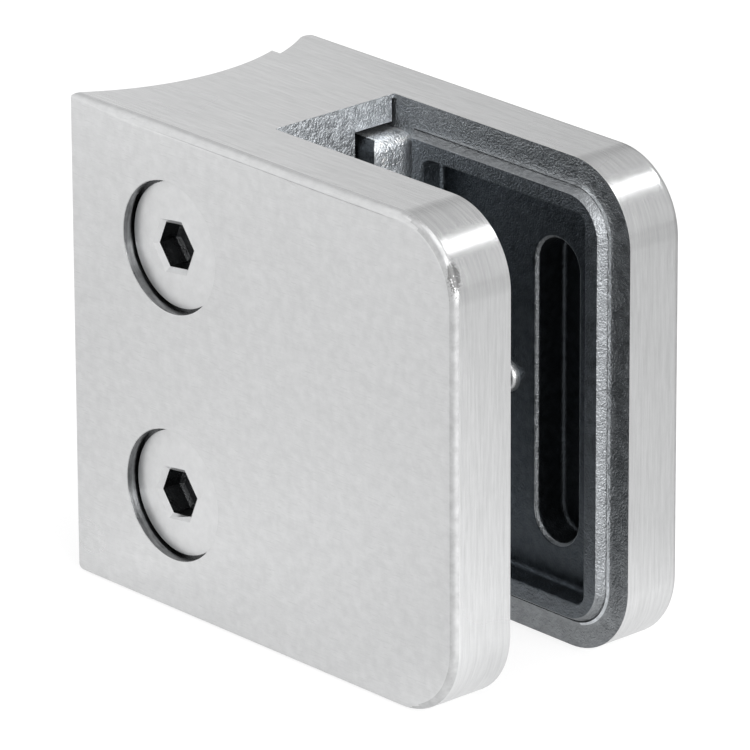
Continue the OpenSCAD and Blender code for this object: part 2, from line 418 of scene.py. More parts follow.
class Workpiece:
    """A mesh on the bench, in millimetres from the tip, the front face and the bottom."""

    def __init__(self, name: str, item: bpy.types.Object, material: Material) -> None:
        """Takes a new primitive.

        Args:
            name: The piece's name.
            item: The primitive.
            material: The finish of all its faces.
        """
        self.item = item
        item.name = name
        item.data.name = name
        item.data.materials.clear()
        item.data.materials.append(material)
        bpy.ops.object.transform_apply(location=True, rotation=True, scale=True)

    @classmethod
    def block(cls, name: str, low: Triple, high: Triple, material: Material) -> "Workpiece":
        """Starts from a block.

        Args:
            name: The piece's name.
            low: The block's lowest corner.
            high: The block's highest corner.
            material: The finish of its faces.

        Returns:
            The block.
        """
        bpy.ops.object.select_all(action="DESELECT")
        low, high = Vector(low), Vector(high)
        bpy.ops.mesh.primitive_cube_add(size=1, location=(low + high) / 2)
        bpy.context.object.scale = high - low
        return cls(name, bpy.context.object, material)

    @classmethod
    def rod(
        cls,
        name: str,
        foot: Triple,
        length: float,
        radius: float,
        material: Material,
        axis: Axis = Axis.Y,
        sides: int = 96,
    ) -> "Workpiece":
        """Starts from a round rod.

        Args:
            name: The piece's name.
            foot: The middle of its near end.
            length: Its length along the axis.
            radius: Its radius.
            material: The finish of its faces.
            axis: The axis that it lies along.
            sides: Number of its sides.

        Returns:
            The rod.
        """
        bpy.ops.object.select_all(action="DESELECT")
        middle = Vector(foot) + Vector([length / 2 if one is axis else 0 for one in Axis])
        bpy.ops.mesh.primitive_cylinder_add(
            vertices=sides, radius=radius, depth=length, location=middle, rotation=axis.value
        )
        return cls(name, bpy.context.object, material)

    def hold(self) -> None:
        """Makes this the one selected and active object."""
        if bpy.context.object and bpy.context.object.mode != "OBJECT":
            bpy.ops.object.mode_set(mode="OBJECT")
        bpy.ops.object.select_all(action="DESELECT")
        self.item.select_set(True)
        bpy.context.view_layer.objects.active = self.item

    def edit(self, what: Pick, test: FaceTest | EdgeTest, action: Callable, **settings: object) -> None:
        """Picks faces or edges and works on them in edit mode.

        Args:
            what: Whether faces or edges are picked.
            test: For a face, takes its middle and normal; for an edge, its two ends.
            action: What is done to them.
            settings: How it is done.
        """
        self.hold()
        mesh = self.item.data
        points = [v.co for v in mesh.vertices]
        for group in (mesh.vertices, mesh.edges, mesh.polygons):
            group.foreach_set("select", [False] * len(group))
        if what is Pick.FACES:
            chosen = [test(f.center, f.normal) for f in mesh.polygons]
            mesh.polygons.foreach_set("select", chosen)
        else:
            chosen = [test(points[e.vertices[0]], points[e.vertices[1]]) for e in mesh.edges]
            mesh.edges.foreach_set("select", chosen)
        bpy.context.tool_settings.mesh_select_mode = (False, what is Pick.EDGES, what is Pick.FACES)
        bpy.ops.object.mode_set(mode="EDIT")
        if not any(chosen):
            LOG.warning("%s: nothing was picked", self.item.name)
        action(**settings)
        bpy.ops.object.mode_set(mode="OBJECT")

    def bevel(self, width: float, steps: int, test: EdgeTest) -> None:
        """Rounds the edges that pass a test, by a width on each side and in a number of steps."""
        shape = {"offset": width, "segments": steps, "profile": 0.5, "clamp_overlap": False}
        self.edit(Pick.EDGES, test, bpy.ops.mesh.bevel, **shape)

    def step(self, inward: float, out: float, test: FaceTest) -> None:
        """Insets the faces that pass a test and raises the inset along their normal."""
        self.edit(Pick.FACES, test, bpy.ops.mesh.inset, thickness=inward, depth=out)

    def extend(self, by: Triple, test: FaceTest) -> None:
        """Extrudes the faces that pass a test by a move."""
        action = bpy.ops.mesh.extrude_region_move
        self.edit(Pick.FACES, test, action, TRANSFORM_OT_translate={"value": by})

    def divide(self, x: float) -> None:
        """Adds edges all round at one x."""
        self.edit(Pick.FACES, everywhere, bpy.ops.mesh.bisect, plane_co=(x, 0, 0), plane_no=(1, 0, 0))

    def stretch(self, factors: Triple, middle: Triple, test: EdgeTest) -> None:
        """Stretches the edges that pass a test about a point."""
        self.edit(Pick.EDGES, test, bpy.ops.transform.resize, value=factors, center_override=middle)

    def taper(self, share: float, middle: Triple) -> None:
        """Shrinks the end face at a point about that point."""
        factors, test = (share, 1, share), faces_end_at(middle[1])
        self.edit(Pick.FACES, test, bpy.ops.transform.resize, value=factors, center_override=middle)

    def turn(self, degrees: float, middle: Triple) -> None:
        """Turns the whole workpiece about a line along y through a point."""
        settings = {"value": math.radians(degrees), "orient_axis": "Y", "center_override": middle}
        self.edit(Pick.FACES, everywhere, bpy.ops.transform.rotate, **settings)

    def combine(self, other: "Workpiece", fit: Fit) -> None:
        """Puts another workpiece to this one.

        Args:
            other: The other workpiece, which is used up.
            fit: Whether it is cut out, joined on, or trims this one to what both fill.
        """
        self.hold()
        modifier = self.item.modifiers.new("combine", "BOOLEAN")
        modifier.operation, modifier.solver = fit.value, "EXACT"
        modifier.material_mode = "TRANSFER"
        modifier.object = other.item
        bpy.ops.object.modifier_apply(modifier=modifier.name)
        bpy.data.objects.remove(other.item, do_unlink=True)

    def cut(self, *tools: "Workpiece") -> None:
        """Cuts tools out of this workpiece."""
        for tool in tools:
            self.combine(tool, Fit.CUT)

    def join(self, *parts: "Workpiece") -> None:
        """Joins other workpieces onto this one."""
        for part in parts:
            self.combine(part, Fit.JOIN)

    def finish_faces(self, material: Material, test: FinishTest) -> None:
        """Gives a finish to the faces that pass a test.

        Args:
            material: The finish.
            test: Takes a face's middle, its normal and the finish that it has.
        """
        mesh = self.item.data
        names = [m.name for m in mesh.materials]
        if material.name not in names:
            mesh.materials.append(material)
            names.append(material.name)
        for face in mesh.polygons:
            if test(face.center, face.normal, names[face.material_index]):
                face.material_index = names.index(material.name)

    def settle(self, corner: Vector, smooth_angle: float = 32.0) -> bpy.types.Object:
        """Scales the workpiece to metres, puts it in its place and smooths it.

        Args:
            corner: Where the bench's zero corner lies in the frame.
            smooth_angle: Largest angle between faces that are shaded as one.

        Returns:
            The finished object.
        """
        self.hold()
        self.item.scale = (MM, MM, MM)
        self.item.location = corner
        bpy.ops.object.transform_apply(location=True, rotation=True, scale=True)
        bpy.ops.object.shade_smooth_by_angle(angle=math.radians(smooth_angle))
        even = self.item.modifiers.new("even", "WEIGHTED_NORMAL")
        even.keep_sharp, even.weight = True, 100
        bpy.ops.object.modifier_apply(modifier=even.name)
        return self.item


@dataclass(frozen=True)
class Finishes:
    """All the clamp's finishes."""

    face: Material
    band: Material
    eased: Material
    skin: Material
    web: Material
    saddle: Material
    block: Material
    seat: Material
    pocket: Material
    recess: Material
    turned: Material
    worn: Material
    screw: Material
    socket: Material

    @classmethod
    def make(cls) -> "Finishes":
        """Makes each finish once.

        Returns:
            The finishes.
        """
        scuff = Scuff((0.0238, -0.0126, 0.0412))
        kinds = {
            "face": BrushedSteel("brushed_face", (600.0, 600.0, 7000.0), roughness=0.31, scratches=1.2),
            "band": BrushedSteel(
                "brushed_band",
                (260.0, 4600.0, 260.0),
                variation=0.07,
                streaks=4.0,
                roughness=0.25,
                relief=0.5,
                scuff=scuff,
            ),
            # Painted shade: a darker, rougher copy of the brushed steel that dims the highlight on the eased
            # edge at the open end; the scuff on it is a real mark.
            "eased": BrushedSteel(
                "eased_edge",
                (900.0, 900.0, 900.0),
                level=0.56,
                variation=0.14,
                roughness=0.42,
                relief=0.7,
                scuff=scuff,
            ),
            "skin": CastSteel("cast_skin", tint=0.04),
            # Painted light: a lighter copy of the cast skin for faces that look to the open end, the web's
            # end and the steep slopes of the rim's foot.
            "web": CastSteel("cast_web", level=0.66, tint=0.04, depth=0.72),
            "saddle": CastSteel("cast_saddle", level=0.5, tint=0.03, roughness=0.36, depth=0.5, blotch=0.04),
            # Painted light: the lightest copy of the cast skin, for the nesting blocks' lit tops and ends.
            "block": CastSteel("cast_block", level=0.92, tint=0.03, depth=0.8),
            "seat": CastSteel("cast_seat", level=0.17, tint=0.09),
            # Painted shade: a dark copy of the cast skin for the pocket inside the rim and the tube bolt's
            # bore.
            "pocket": CastSteel("cast_pocket", level=0.115, tint=0.12, depth=0.6),
            # Painted shade: a very dark copy of the cast skin for the recess, the notches over the blocks,
            # the blocks' fronts and the seam's groove.
            "recess": CastSteel("cast_recess", level=0.07, tint=0.10, depth=0.5),
            # The turned grain is real; its dark level is painted shade in the bores.
            "turned": BrushedSteel(
                "turned_bore",
                (500.0, 3500.0, 500.0),
                level=0.2,
                variation=0.5,
                streaks=1.5,
                roughness=0.2,
                relief=0.9,
                tint=0.02,
            ),
            "worn": BrushedSteel("worn_tip", (500.0, 500.0, 500.0), level=0.6, roughness=0.38),
            "screw": BrushedSteel(
                "screw_steel", (900.0, 900.0, 900.0), level=0.74, variation=0.05, roughness=0.36, relief=0.2
            ),
            # Painted shade: a very dark finish inside the hexagon socket of the steel screw.
            "socket": CastSteel("socket_black", level=0.12, roughness=0.3, tint=0.03, depth=0.6),
        }
        return cls(**{name: kind.material() for name, kind in kinds.items()})


@dataclass
class ClampSizes:
    """The clamp's sizes in millimetres, from the tip, the front face and the bottom."""

    length: float
    height: float
    thickness: float
    seam_y: float
    front_jaw_t: float = 6.5
    corner_r: float = 7.0
    edge_r: float = 0.8
    # The rolled top edge of the body: places along x, and its depth there over that of the other edges.
    roll: Stops = ((0.0, 0.5), (8.0, 2.1), (34.0, 2.75))
    saddle_r: float = 21.2
    cover_setback: float = 1.1
    tip_r: float = 1.3
    web_end: float = 19.4
    tube_bolt_r: float = 4.25
    screw_x: float = 12.8
    screw_offset: float = 11.5
    rim_start: float = 22.0
    rim_inset: float = 2.5
    rim_w: float = 2.1
    rim_root: float = 1.0
    rim_h: float = 1.0
    rim_slope: float = 0.42
    skirt_w: float = 1.1
    skirt_h: float = 0.23
    # Steps of the rim's hollow foot: shares of its width and of its height.
    skirt_steps: Stops = ((0.45, 0.13), (0.32, 0.35), (0.23, 0.52))
    groove_w: float = 0.06
    groove_h: float = 0.15
    rim_edge: float = 0.12
    pocket_depth: float = 1.4
    pocket_r: float = 1.0
    floor_r: float = 0.5
    lip_r: float = 0.22
    rim_corner_r: float = 4.1
    recess_x: float = 38.55
    recess_w: float = 5.1
    recess_drop: float = 0.3
    recess_length: float = 28.0
    recess_depth: float = 3.3
    recess_flat: float = 0.01
    mouth_r: float = 0.5
    stud_x: float = 32.45
    stud_drop: float = 0.4
    stud_r: float = 1.5
    stud_proud: float = 0.9
    stud_root: float = 0.5
    stud_dome: float = 0.8
    block_start: float = 7.2
    block_reach: float = 4.4
    block_h: float = 13.6
    block_inset: float = 3.1
    block_r: float = 1.1
    block_gap: float = 0.25
    lug_gap: float = 0.6

    @property
    def mid_y(self) -> float:
        """Half of the thickness."""
        return self.thickness / 2

    @property
    def mid_z(self) -> float:
        """Half of the height."""
        return self.height / 2

    @property
    def saddle_x(self) -> float:
        """Place of the tube's axis."""
        return -math.sqrt(self.saddle_r**2 - self.mid_y**2)

    @property
    def corner(self) -> Vector:
        """Where the bench's zero corner lies in the frame, in metres."""
        return Vector((-self.length / 2, -self.mid_y, 0)) * MM

    @classmethod
    def measured(cls, low: Vector, high: Vector, seam: float) -> "ClampSizes":
        """Takes the outer sizes from the clamp's two corners and the body's rear face."""
        size = (high - low) / MM
        return cls(size.x, size.z, size.y, (seam - low.y) / MM)


@dataclass(frozen=True)
class InnerFace:
    """A jaw's inner face, which lies at one y."""

    y: float
    # 1 where the metal lies towards +y, and -1 where it lies towards -y.
    inward: int

    def at(self, depth: float) -> float:
        """Gives the y of a depth under the face, or of a height over it as a negative depth."""
        return self.y + self.inward * depth


@dataclass
class Jaw:
    """What the two jaws have in common."""

    sizes: ClampSizes
    finishes: Finishes
    # Shares of a normal along y, between which a face is a slope of the rim's foot or of the recess's mouth.
    foot_gentle: Pair = (0.93, 0.985)
    foot_steep: Pair = (0.5, 0.93)
    mouth_slope: Pair = (0.2, 0.9)
    # The largest such share on the band round the outline, and on its eased edge.
    band_slope: float = 0.3
    eased_slope: float = 0.97
    # The least share of a normal along x towards the open end: on the foot's slopes, which get painted light,
    # and on the eased edge, which gets painted shade.
    foot_lean: float = 0.1
    eased_lean: float = 0.15

    def plate(self, name: str, low_y: float, high_y: float, outer_y: float) -> Workpiece:
        """Makes a plate with rounded corners at the open end and an eased outline.

        Args:
            name: The piece's name.
            low_y: Its face nearest the front.
            high_y: Its face furthest from the front.
            outer_y: Which of the two is the outer face.

        Returns:
            The plate.
        """
        s = self.sizes
        plate = Workpiece.block(name, (0, low_y, 0), (s.length, high_y, s.height), self.finishes.face)
        plate.bevel(s.corner_r, steps=20, test=lambda a, b: near(a.x, s.length) and along_y(a, b))
        outer = edge_at(outer_y)
        plate.bevel(s.edge_r, steps=6, test=lambda a, b: outer(a, b) and not near(max(a.x, b.x), 0))
        return plate

    def seat(self, piece: Workpiece, face: InnerFace, overlap: float = 0.0) -> None:
        """Adds the raised rim, the pocket, the long recess and the stud.

        Args:
            piece: The jaw.
            face: Its inner face.
            overlap: How far the rim runs on towards the web.
        """
        self.raise_rim(piece, face, overlap)
        self.sink_pocket(piece, face)
        self.sink_recess(piece, face)
        self.stand_stud(piece, face)

    def raise_rim(self, piece: Workpiece, face: InnerFace, overlap: float) -> None:
        """Raises the rim, with its hollow foot and the crease round it.

        Args:
            piece: The jaw.
            face: Its inner face.
            overlap: How far the rim runs on towards the web.
        """
        s, f = self.sizes, self.finishes
        grow = s.skirt_w + s.groove_w
        far_x, far_z = s.length - s.rim_inset + grow, s.height - s.rim_inset + grow
        near_y, far_y = sorted((face.y, face.at(s.rim_root)))
        low, high = (s.rim_start - overlap, near_y, s.rim_inset - grow), (far_x, far_y, far_z)
        rim = Workpiece.block("rim", low, high, f.skin)
        rim.bevel(s.rim_corner_r + grow, steps=16, test=lambda a, b: near(a.x, far_x) and along_y(a, b))
        steps = [(w * s.skirt_w, h * s.skirt_h) for w, h in s.skirt_steps]
        steps.append((s.groove_w, -s.groove_h))
        steps.append((s.rim_slope, s.rim_h - s.rim_edge - s.skirt_h + s.groove_h))
        steps.append((s.rim_edge, s.rim_edge))
        level = 0.0
        for run, rise in steps:
            y = face.at(-level)
            rim.step(run, rise, lambda middle, normal: normal.y * face.inward < -FACING and near(middle.y, y))
            level += rise
        rim.finish_faces(f.seat, lambda middle, normal, has: near(middle.y, face.at(-s.rim_h)))
        # Of the foot's slopes that look to the open end, the gentle ones keep the cast skin and the steep
        # ones get the lighter web finish, which is painted light.
        for finish, (steepest, flattest) in ((f.skin, self.foot_gentle), (f.web, self.foot_steep)):
            rim.finish_faces(
                finish,
                lambda middle, normal, has: steepest < -normal.y * face.inward < flattest
                and normal.x > self.foot_lean
                and near(middle.y, face.y, s.skirt_h),
            )
        piece.join(rim)

    def sink_pocket(self, piece: Workpiece, face: InnerFace) -> None:
        """Sinks the pocket inside the rim.

        Args:
            piece: The jaw.
            face: Its inner face.
        """
        s = self.sizes
        inset, top_y = s.rim_inset + s.rim_w, face.at(-s.rim_h)
        low, high = (s.rim_start + s.rim_w, inset), (s.length - inset, s.height - inset)
        depth = (face.at(s.pocket_depth), face.at(-s.rim_h - 2 * PAST))
        # The pocket gets the dark pocket finish, which is painted shade.
        self.sink(piece, "pocket", low, high, depth, s.pocket_r, steps=10, material=self.finishes.pocket)
        piece.bevel(s.lip_r, steps=2, test=edge_round(top_y, low, high))

    def sink_recess(self, piece: Workpiece, face: InnerFace) -> None:
        """Sinks the long recess into the pocket's floor.

        Args:
            piece: The jaw.
            face: Its inner face.
        """
        s, f = self.sizes, self.finishes
        floor_y = face.at(s.pocket_depth)
        half_w, half_l, recess_z = s.recess_w / 2, s.recess_length / 2, s.mid_z - s.recess_drop
        low, high = (s.recess_x - half_w, recess_z - half_l), (s.recess_x + half_w, recess_z + half_l)
        depth = (face.at(s.pocket_depth + s.recess_depth), face.at(s.pocket_depth - 2 * PAST))
        # The recess is painted very dark as shade, and the slopes of its mouth get the cast skin back.
        self.sink(piece, "recess", low, high, depth, half_w - s.recess_flat, steps=12, material=f.recess)
        piece.bevel(s.mouth_r, steps=4, test=edge_round(floor_y, low, high))
        steepest, flattest = self.mouth_slope
        piece.finish_faces(
            f.skin,
            lambda middle, normal, has: near(middle.y, floor_y, s.mouth_r)
            and steepest < abs(normal.y) < flattest
            and near(middle.x, s.recess_x, half_w + s.mouth_r)
            and near(middle.z, recess_z, half_l + s.mouth_r),
        )

    def sink(
        self,
        piece: Workpiece,
        name: str,
        low: Pair,
        high: Pair,
        depth: Pair,
        corner_r: float,
        steps: int,
        material: Material,
    ) -> None:
        """Sinks a hollow with round corners and an eased floor.

        Args:
            piece: The jaw.
            name: The hollow's name.
            low: Its lowest x and z.
            high: Its highest x and z.
            depth: Where its floor and its open side lie.
            corner_r: Radius of its corners.
            steps: Number of steps in a corner.
            material: Its finish.
        """
        near_y, far_y = sorted(depth)
        tool = Workpiece.block(name, (low[0], near_y, low[1]), (high[0], far_y, high[1]), material)
        tool.bevel(corner_r, steps, along_y)
        tool.bevel(self.sizes.floor_r, steps=3, test=edge_at(depth[0]))
        piece.cut(tool)

    def stand_stud(self, piece: Workpiece, face: InnerFace) -> None:
        """Stands the stud on the pocket's floor.

        Args:
            piece: The jaw.
            face: Its inner face.
        """
        s = self.sizes
        top_y, root_y = face.at(s.pocket_depth - s.stud_proud), face.at(s.pocket_depth + s.stud_root)
        foot = (s.stud_x, min(top_y, root_y), s.mid_z - s.stud_drop)
        stud = Workpiece.rod("stud", foot, s.stud_proud + s.stud_root, s.stud_r, self.finishes.worn, sides=48)
        stud.bevel(s.stud_dome, steps=6, test=edge_at(top_y))
        piece.join(stud)

    def notch_tool(
        self,
        name: str,
        gap: float,
        lug_gap: float,
        end_x: float,
        rear_y: float,
        mirrored: bool,
        material: Material,
    ) -> Workpiece:
        """Makes a block that fills a notch, or one that stands in it.

        Args:
            name: The block's name.
            gap: How far it is grown.
            lug_gap: How far its outer side is grown.
            end_x: Where it ends towards the open end.
            rear_y: Where it ends at the rear.
            mirrored: Whether it is the lower one.
            material: Its finish.

        Returns:
            The block.
        """
        s = self.sizes
        z1, z2 = s.height - s.block_inset - s.block_h - gap, s.height - s.block_inset + lug_gap
        if mirrored:
            z1, z2 = s.height - z2, s.height - z1
        front_y = s.seam_y - s.block_reach - gap
        block = Workpiece.block(name, (s.block_start - gap, front_y, z1), (end_x, rear_y, z2), material)
        block.bevel(s.block_r, steps=6, test=along_y)
        return block

    def saddle_tool(self, x: float) -> Workpiece:
        """Makes the tool that hollows the saddle for the tube.

        Args:
            x: Place of the tube's axis.

        Returns:
            The tool.
        """
        s = self.sizes
        foot, length = (x, s.mid_y, -OVER), s.height + 2 * OVER
        return Workpiece.rod("saddle", foot, length, s.saddle_r, self.finishes.saddle, Axis.Z, sides=360)

    def band(self, piece: Workpiece) -> None:
        """Brushes the outline's band along its run, and gives its eased edge at the open end a darker finish,
        which is painted shade.

        Args:
            piece: The jaw.
        """
        f, slope = self.finishes, self.band_slope
        face = f.face.name
        piece.finish_faces(f.band, lambda middle, normal, has: has == face and abs(normal.y) < slope)
        # The eased edge at the open end gets the darker eased finish, which is painted shade.
        piece.finish_faces(
            f.eased,
            lambda middle, normal, has: has == face
            and abs(normal.y) < self.eased_slope
            and normal.x > self.eased_lean,
        )


@dataclass
class ClampBody(Jaw):
    """The cast body: front jaw, web and saddle."""

    bore_r: float = 3.2
    counterbore_r: float = 6.0
    counterbore_depth: float = 1.52
    cone_start_r: float = 5.79
    mouth_r: float = 0.1
    fillet: float = 0.3
    seam_open: float = 0.3
    seam_deep: float = 0.8
    seam_end: float = 0.4

    def screw_hole(self, z: float) -> Workpiece:
        """Makes the tool that cuts a screw's countersunk hole.

        Args:
            z: The hole's height.

        Returns:
            The tool.
        """
        s, depth = self.sizes, self.counterbore_depth
        foot = (s.screw_x, -PAST, z)
        # The hole takes the dark turned finish: real turned grain with painted shade.
        tool = Workpiece.rod("screw_hole", foot, PAST + depth, self.counterbore_r, self.finishes.turned)
        cone = self.cone_start_r - self.bore_r
        tool.step(self.counterbore_r - self.cone_start_r, 0, faces_rear)
        tool.step(cone, cone, lambda middle, normal: faces_rear(middle, normal) and near(middle.x, s.screw_x))
        tool.extend((0, s.seam_y + PAST - depth - cone, 0), faces_rear_at(depth + cone))
        return tool

    def build(self) -> bpy.types.Object:
        """Builds and dresses the body.

        Returns:
            The finished body.
        """
        s, f = self.sizes, self.finishes
        body = self.plate("dressed_body", 0, s.seam_y, 0)
        low_z = s.height - s.edge_r - MARGIN
        for x, factor in s.roll:
            if x > 0:
                body.divide(x)
            body.stretch(
                (1, 1, factor),
                (x, 0, s.height),
                lambda a, b: all(near(p.x, x) and p.y < s.edge_r + MARGIN and p.z > low_z for p in (a, b)),
            )
        low, high = (s.web_end, s.front_jaw_t, -OVER), (s.length + OVER, s.seam_y + OVER, s.height + OVER)
        # The slot's faces take the lighter web finish, which is painted light on the web's end; the jaw's
        # inner face keeps the cast skin.
        slot = Workpiece.block("slot", low, high, f.web)
        corner = edge_round(s.front_jaw_t, (s.web_end, -OVER), (s.web_end, s.height + OVER))
        slot.bevel(self.fillet, steps=4, test=corner)
        slot.finish_faces(f.skin, faces_front)
        body.cut(slot)
        self.seat(body, InnerFace(s.front_jaw_t, -1))
        body.cut(self.saddle_tool(s.saddle_x))
        for mirrored in (False, True):
            end_x, rear_y = s.web_end + OVER, s.seam_y + PAST
            # The notches take the very dark recess finish, which is painted shade in the gap over the blocks.
            body.cut(self.notch_tool("notch", s.block_gap, s.lug_gap, end_x, rear_y, mirrored, f.recess))
        foot, length = (-PAST, s.mid_y, s.mid_z), s.web_end + 2 * PAST
        # The tube bolt's bore takes the dark pocket finish, which is painted shade.
        body.cut(Workpiece.rod("tube_bolt", foot, length, s.tube_bolt_r, f.pocket, Axis.X))
        # A real groove at the seam, given the very dark recess finish as painted shade.
        low = (s.web_end - self.seam_deep, s.seam_y - self.seam_open, self.seam_end)
        high = (s.web_end + PAST, s.seam_y + PAST, s.height - self.seam_end)
        body.cut(Workpiece.block("seam_relief", low, high, f.recess))
        for side in (-1, 1):
            body.cut(self.screw_hole(s.mid_z + side * s.screw_offset))
        low, high = (s.screw_x - self.counterbore_r, 0), (s.screw_x + self.counterbore_r, s.height)
        body.bevel(self.mouth_r, steps=2, test=edge_round(0, low, high))
        self.band(body)
        return body.settle(s.corner)


@dataclass
class CoverPlate(Jaw):
    """The cast cover plate, which is the rear jaw, with its two nesting blocks."""

    tap_r: float = 3.05
    tap_depth: float = 3.2
    rim_overlap: float = 1.0
    block_back: float = 0.4
    block_root: float = 1.0
    # The least share of a normal along y on the front of a block, which is painted dark as shade.
    front_slope: float = 0.35

    def nesting_block(self, mirrored: bool) -> Workpiece:
        """Makes a block that nests in the body, with rounded long edges.

        Args:
            mirrored: Whether it is the lower one.

        Returns:
            The block.
        """
        s, f = self.sizes, self.finishes
        end_x = s.rim_start - self.block_back
        # The blocks take the lightest cast finish, which is painted light on their lit tops and ends.
        block = self.notch_tool("block", 0, 0, end_x, s.seam_y + self.block_root, mirrored, f.block)
        front_y = s.seam_y - s.block_reach
        low_z = s.block_inset if mirrored else s.height - s.block_inset - s.block_h
        high = (s.rim_start + OVER, s.seam_y + OVER, low_z + s.block_h)
        section = Workpiece.block("section", (0, front_y, low_z), high, f.block)
        section.bevel(s.block_r, steps=6, test=lambda a, b: edge_at(front_y)(a, b) and near(a.z, b.z))
        # The blocks' fronts take the very dark recess finish, which is painted shade.
        for piece in (section, block):
            piece.finish_faces(f.recess, lambda middle, normal, has: normal.y < -self.front_slope)
        block.combine(section, Fit.TRIM)
        return block

    def tip_tool(self) -> Workpiece:
        """Makes the tool that rounds the tip beside the tube.

        Returns:
            The tool.
        """
        s, band = self.sizes, self.finishes.band
        centre_x = s.saddle_x + s.cover_setback
        reach, centre_y = s.saddle_r + s.tip_r, s.thickness - s.tip_r
        run_y = centre_y - s.mid_y
        tip_x = centre_x + math.sqrt(reach**2 - run_y**2)
        touch_y = s.mid_y + s.saddle_r / reach * run_y
        low, high = (tip_x - OVER, touch_y, -PAST), (tip_x, s.thickness + PAST, s.height + PAST)
        tool = Workpiece.block("tip", low, high, band)
        foot, length = (tip_x, centre_y, -OVER), s.height + 2 * OVER
        tool.cut(Workpiece.rod("tip_round", foot, length, s.tip_r, band, Axis.Z))
        return tool

    def build(self) -> bpy.types.Object:
        """Builds and dresses the cover.

        Returns:
            The finished cover.
        """
        s, f = self.sizes, self.finishes
        cover = self.plate("dressed_cover", s.seam_y, s.thickness, s.thickness)
        cover.finish_faces(f.skin, faces_front)
        for mirrored in (False, True):
            cover.join(self.nesting_block(mirrored))
        self.seat(cover, InnerFace(s.seam_y, 1), self.rim_overlap)
        cover.cut(self.saddle_tool(s.saddle_x + s.cover_setback))
        cover.cut(self.tip_tool())
        for side in (-1, 1):
            foot = (s.screw_x, s.seam_y - s.block_reach - PAST, s.mid_z + side * s.screw_offset)
            depth = PAST + s.block_reach + self.tap_depth
            # The tapped hole takes the dark turned finish: real turned grain with painted shade.
            cover.cut(Workpiece.rod("tapped", foot, depth, self.tap_r, f.turned))
        self.band(cover)
        return cover.settle(s.corner)


@dataclass
class SocketScrew:
    """A countersunk screw with a hexagon socket."""

    sizes: ClampSizes
    finishes: Finishes
    name: str
    side: int
    head_r: float = 5.75
    head_sink: float = 1.0
    head_land: float = 0.4
    thread_r: float = 3.0
    core_r: float = 2.45
    neck: float = 0.6
    runout: float = 0.3
    point: float = 0.8
    point_in: float = 0.3
    edge_r: float = 0.07
    length: float = 20.0
    socket_turn: float = 37.0
    socket_af: float = 4.0
    socket_depth: float = 2.3
    socket_chamfer: float = 0.4
    socket_shift: Pair = (-0.55, -0.3)
    floor_in: float = 0.25
    floor_rise: float = 0.35

    def socket_tools(self, x: float, z: float) -> tuple[Workpiece, Workpiece]:
        """Makes the hexagonal tools for the socket and for its chamfered mouth.

        Args:
            x: The socket's place along the clamp.
            z: Its height.

        Returns:
            The two tools.
        """
        chamfer, face_y, steel = self.socket_chamfer, self.head_sink, self.finishes.screw
        radius = self.socket_af / math.sqrt(3)
        share = self.socket_af / (self.socket_af + 4 * chamfer)
        foot = (x, face_y - chamfer, z)
        mouth = Workpiece.rod("mouth", foot, 2 * chamfer, radius / share, steel, sides=6)
        mouth.turn(self.socket_turn, (x, face_y, z))
        mouth.taper(share, (x, face_y + chamfer, z))
        # The socket's deep part takes the very dark socket finish, which is painted shade.
        foot, black = (x, face_y, z), self.finishes.socket
        deep = Workpiece.rod("deep", foot, self.socket_depth, radius, black, sides=6)
        deep.turn(self.socket_turn, foot)
        deep.step(self.floor_in, self.floor_rise, faces_rear)
        return deep, mouth

    def build(self) -> bpy.types.Object:
        """Builds and dresses the screw.

        Returns:
            The finished screw.
        """
        s, steel = self.sizes, self.finishes.screw
        z = s.mid_z + self.side * s.screw_offset
        face_y = self.head_sink
        screw = Workpiece.rod(self.name, (s.screw_x, face_y, z), self.head_land, self.head_r, steel)
        cone = self.head_r - self.thread_r
        screw.step(cone, cone, faces_rear)
        neck_y = face_y + self.head_land + cone
        screw.extend((0, self.neck, 0), faces_rear_at(neck_y))
        screw.step(self.thread_r - self.core_r, self.runout, faces_rear_at(neck_y + self.neck))
        start_y, end_y = neck_y + self.neck + self.runout, face_y + self.length - self.point
        screw.extend((0, end_y - start_y, 0), faces_rear_at(start_y))
        screw.step(self.point_in, self.point, faces_rear_at(end_y))
        screw.bevel(self.edge_r, steps=2, test=edge_at(face_y))
        across, up = self.socket_shift
        screw.cut(*self.socket_tools(s.screw_x + across, z + up))
        return screw.settle(s.corner)


def direction_to(azimuth: float, elevation: float) -> Vector:
    """Gives the direction towards degrees round from the front and degrees above the floor."""
    a, e = math.radians(azimuth), math.radians(elevation)
    return Vector((math.sin(a) * math.cos(e), -math.cos(a) * math.cos(e), math.sin(e)))


@dataclass(frozen=True)
class SoftBox:
    """A large soft lamp that looks at the clamp."""

    name: str
    azimuth: float
    elevation: float
    distance: float
    width: float
    height: float
    power: float

    def light(self, target: Vector) -> None:
        """Hangs the lamp.

        Args:
            target: The point that it looks at.
        """
        back = direction_to(self.azimuth, self.elevation)
        lamp = bpy.data.lights.new(self.name, "AREA")
        lamp.shape = "RECTANGLE"
        lamp.size, lamp.size_y = self.width, self.height
        lamp.energy = self.power
        holder = bpy.data.objects.new(self.name, lamp)
        bpy.context.scene.collection.objects.link(holder)
        holder.location = target + back * self.distance
        holder.rotation_mode = "QUATERNION"
        holder.rotation_quaternion = back.to_track_quat("Z", "Y")


